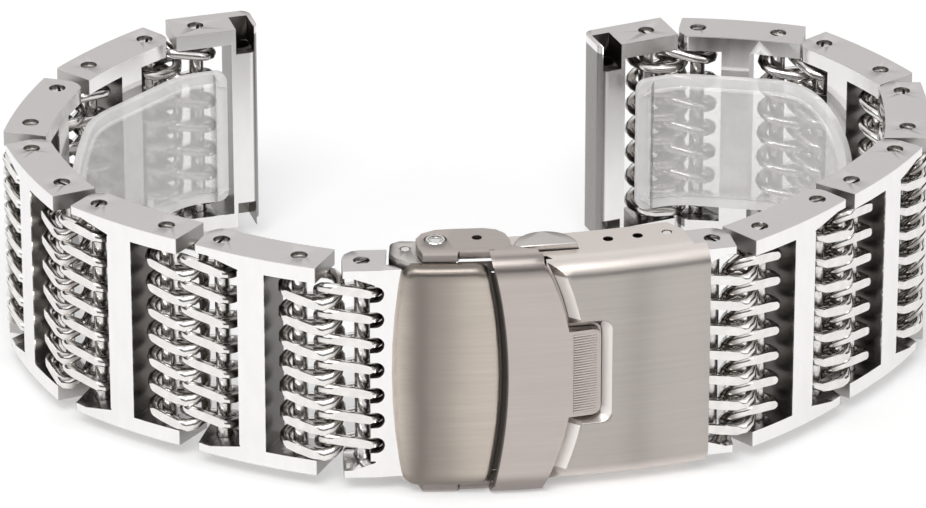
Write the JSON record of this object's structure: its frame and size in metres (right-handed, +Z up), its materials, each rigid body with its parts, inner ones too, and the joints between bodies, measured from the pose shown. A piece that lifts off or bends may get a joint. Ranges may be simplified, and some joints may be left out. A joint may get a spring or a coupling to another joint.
{
  "type": "mesh watch band",
  "caption": "Steel watch band of H-shaped links joined by rows of interlocked wire rings on slotted screws, closed by a fold-over clasp with safety latch and side push buttons.",
  "frame": {"origin": "middle of the bounding box's base, on the surface that the band stands on with one edge", "axes": "+Z up along the width of the band, +X along its longest extent, the clasp faces -Y, the open ends point towards +Y"},
  "size_m": [0.0818, 0.053, 0.023],
  "materials": {
    "link_steel": "polished fronts, satin sides",
    "polished_wire": "polished",
    "screw_steel": "satin",
    "clasp_steel": "brushed",
    "bright_steel": "bright",
    "clear_film": "clear"
  },
  "bodies": {
    "catch": {"catch_block": "clasp_steel", "catch_plate": "clasp_steel", "latch_rivets": "bright_steel", "blade_inner": "clasp_steel", "catch_bar": "bright_steel"},
    "latch": {"safety_latch": "clasp_steel"},
    "blade": {"blade_outer": "clasp_steel", "blade_pin": "bright_steel", "cover_pin": "bright_steel"},
    "cover": {"clasp_cover": "clasp_steel", "adjust_bar": "bright_steel", "button_spring_top": "bright_steel", "button_spring_bottom": "bright_steel"},
    "button_top": {"push_button_top": "clasp_steel"},
    "button_bottom": {"push_button_bottom": "clasp_steel"},
    "left_clasp": {"clasp_link_left": "link_steel", "screws_clasp_left": "screw_steel", "rings_clasp_left": "polished_wire"},
    "left_5": {"link_left_5": "link_steel", "screws_left_5": "screw_steel", "rings_left_5": "polished_wire"},
    "left_4": {"link_left_4": "link_steel", "screws_left_4": "screw_steel", "rings_left_4": "polished_wire"},
    "left_3": {"link_left_3": "link_steel", "screws_left_3": "screw_steel", "rings_left_3": "polished_wire"},
    "left_2": {"link_left_2": "link_steel", "screws_left_2": "screw_steel", "rings_left_2": "polished_wire"},
    "left_1": {"link_left_1": "link_steel", "screws_left_1": "screw_steel", "rings_left_1": "polished_wire"},
    "left_end": {"end_link_left": "link_steel", "screws_end_left": "screw_steel", "rings_end_left": "polished_wire"},
    "left_tongue": {"tongue_left": "clear_film"},
    "right_clasp": {"clasp_link_right": "link_steel", "screws_clasp_right": "screw_steel", "rings_clasp_right": "polished_wire"},
    "right_5": {"link_right_5": "link_steel", "screws_right_5": "screw_steel", "rings_right_5": "polished_wire"},
    "right_4": {"link_right_4": "link_steel", "screws_right_4": "screw_steel", "rings_right_4": "polished_wire"},
    "right_3": {"link_right_3": "link_steel", "screws_right_3": "screw_steel", "rings_right_3": "polished_wire"},
    "right_2": {"link_right_2": "link_steel", "screws_right_2": "screw_steel", "rings_right_2": "polished_wire"},
    "right_1": {"link_right_1": "link_steel", "screws_right_1": "screw_steel", "rings_right_1": "polished_wire"},
    "right_end": {"end_link_right": "link_steel", "screws_end_right": "screw_steel", "rings_end_right": "polished_wire"},
    "right_tongue": {"tongue_right": "clear_film"}
  },
  "joints": [
    {"name": "clasp_fold", "type": "hinge", "parent": "catch", "child": "blade", "pos_m": [0.01478, -0.01902, 0.0115], "axis": [0, 0, 1], "range_deg": [0, 75]},
    {"name": "cover_hinge", "type": "hinge", "parent": "blade", "child": "cover", "pos_m": [0.00377, -0.0214, 0.0115], "axis": [0, 0, -1], "range_deg": [0, 75]},
    {"name": "latch_hinge", "type": "hinge", "parent": "catch", "child": "latch", "pos_m": [-0.00262, -0.02261, 0.0115], "axis": [0, 0, -1], "range_deg": [0, 101.25]},
    {"name": "button_top_press", "type": "slide", "parent": "cover", "child": "button_top", "axis": [0, 0, -1], "range_m": [0, 0.0005], "stiffness_N_per_m": 600, "springref_m": -0.0006, "deforming": ["button_spring_top"]},
    {"name": "button_bottom_press", "type": "slide", "parent": "cover", "child": "button_bottom", "axis": [0, 0, 1], "range_m": [0, 0.0005], "stiffness_N_per_m": 600, "springref_m": -0.0006, "deforming": ["button_spring_bottom"]},
    {"name": "left_bar", "type": "hinge", "parent": "catch", "child": "left_clasp", "pos_m": [-0.00518, -0.02262, 0.0115], "axis": [0, 0, 1], "range_deg": [-2, 8]},
    {"name": "left_mesh_6", "type": "hinge", "parent": "left_clasp", "child": "left_5", "pos_m": [-0.01166, -0.02383, 0.0115], "axis": [0, 0, 1], "range_deg": [-3, 27]},
    {"name": "left_mesh_5", "type": "hinge", "parent": "left_5", "child": "left_4", "pos_m": [-0.0234, -0.0186, 0.0115], "axis": [0, 0, 1], "range_deg": [-3, 11]},
    {"name": "left_mesh_4", "type": "hinge", "parent": "left_4", "child": "left_3", "pos_m": [-0.03393, -0.01123, 0.0115], "axis": [0, 0, 1], "range_deg": [-3, 31]},
    {"name": "left_mesh_3", "type": "hinge", "parent": "left_3", "child": "left_2", "pos_m": [-0.03916, 0.00051, 0.0115], "axis": [0, 0, 1], "range_deg": [-1, 40]},
    {"name": "left_mesh_2", "type": "hinge", "parent": "left_2", "child": "left_1", "pos_m": [-0.03561, 0.01286, 0.0115], "axis": [0, 0, 1], "range_deg": [0, 25]},
    {"name": "left_mesh_1", "type": "hinge", "parent": "left_1", "child": "left_end", "pos_m": [-0.02718, 0.02256, 0.0115], "axis": [0, 0, 1], "range_deg": [0, 33]},
    {"name": "left_tongue_slide", "type": "slide", "parent": "left_1", "child": "left_tongue", "axis": [0, 0, 1], "range_m": [0, 0.025]},
    {"name": "right_bar", "type": "hinge", "parent": "cover", "child": "right_clasp", "pos_m": [0.01715, -0.01949, 0.0115], "axis": [0, 0, -1], "range_deg": [-2, 1]},
    {"name": "right_mesh_6", "type": "hinge", "parent": "right_clasp", "child": "right_5", "pos_m": [0.02342, -0.01892, 0.0115], "axis": [0, 0, -1], "range_deg": [-3, 32]},
    {"name": "right_mesh_5", "type": "hinge", "parent": "right_5", "child": "right_4", "pos_m": [0.03209, -0.01026, 0.0115], "axis": [0, 0, -1], "range_deg": [-3, 11]},
    {"name": "right_mesh_4", "type": "hinge", "parent": "right_4", "child": "right_3", "pos_m": [0.03894, -0.0001, 0.0115], "axis": [0, 0, -1], "range_deg": [-3, 35]},
    {"name": "right_mesh_3", "type": "hinge", "parent": "right_3", "child": "right_2", "pos_m": [0.03872, 0.01214, 0.0115], "axis": [0, 0, -1], "range_deg": [-3, 40]},
    {"name": "right_mesh_2", "type": "hinge", "parent": "right_2", "child": "right_1", "pos_m": [0.03069, 0.02139, 0.0115], "axis": [0, 0, -1], "range_deg": [0, 40]},
    {"name": "right_mesh_1", "type": "hinge", "parent": "right_1", "child": "right_end", "pos_m": [0.01859, 0.02331, 0.0115], "axis": [0, 0, -1], "range_deg": [0, 32]},
    {"name": "right_tongue_slide", "type": "slide", "parent": "right_1", "child": "right_tongue", "axis": [0, 0, 1], "range_m": [0, 0.025]}
  ],
  "couplings": [
    {"joint": "cover_hinge", "follows": "clasp_fold", "ratio": 1},
    {"joint": "latch_hinge", "follows": "clasp_fold", "ratio": 1.35}
  ]
}
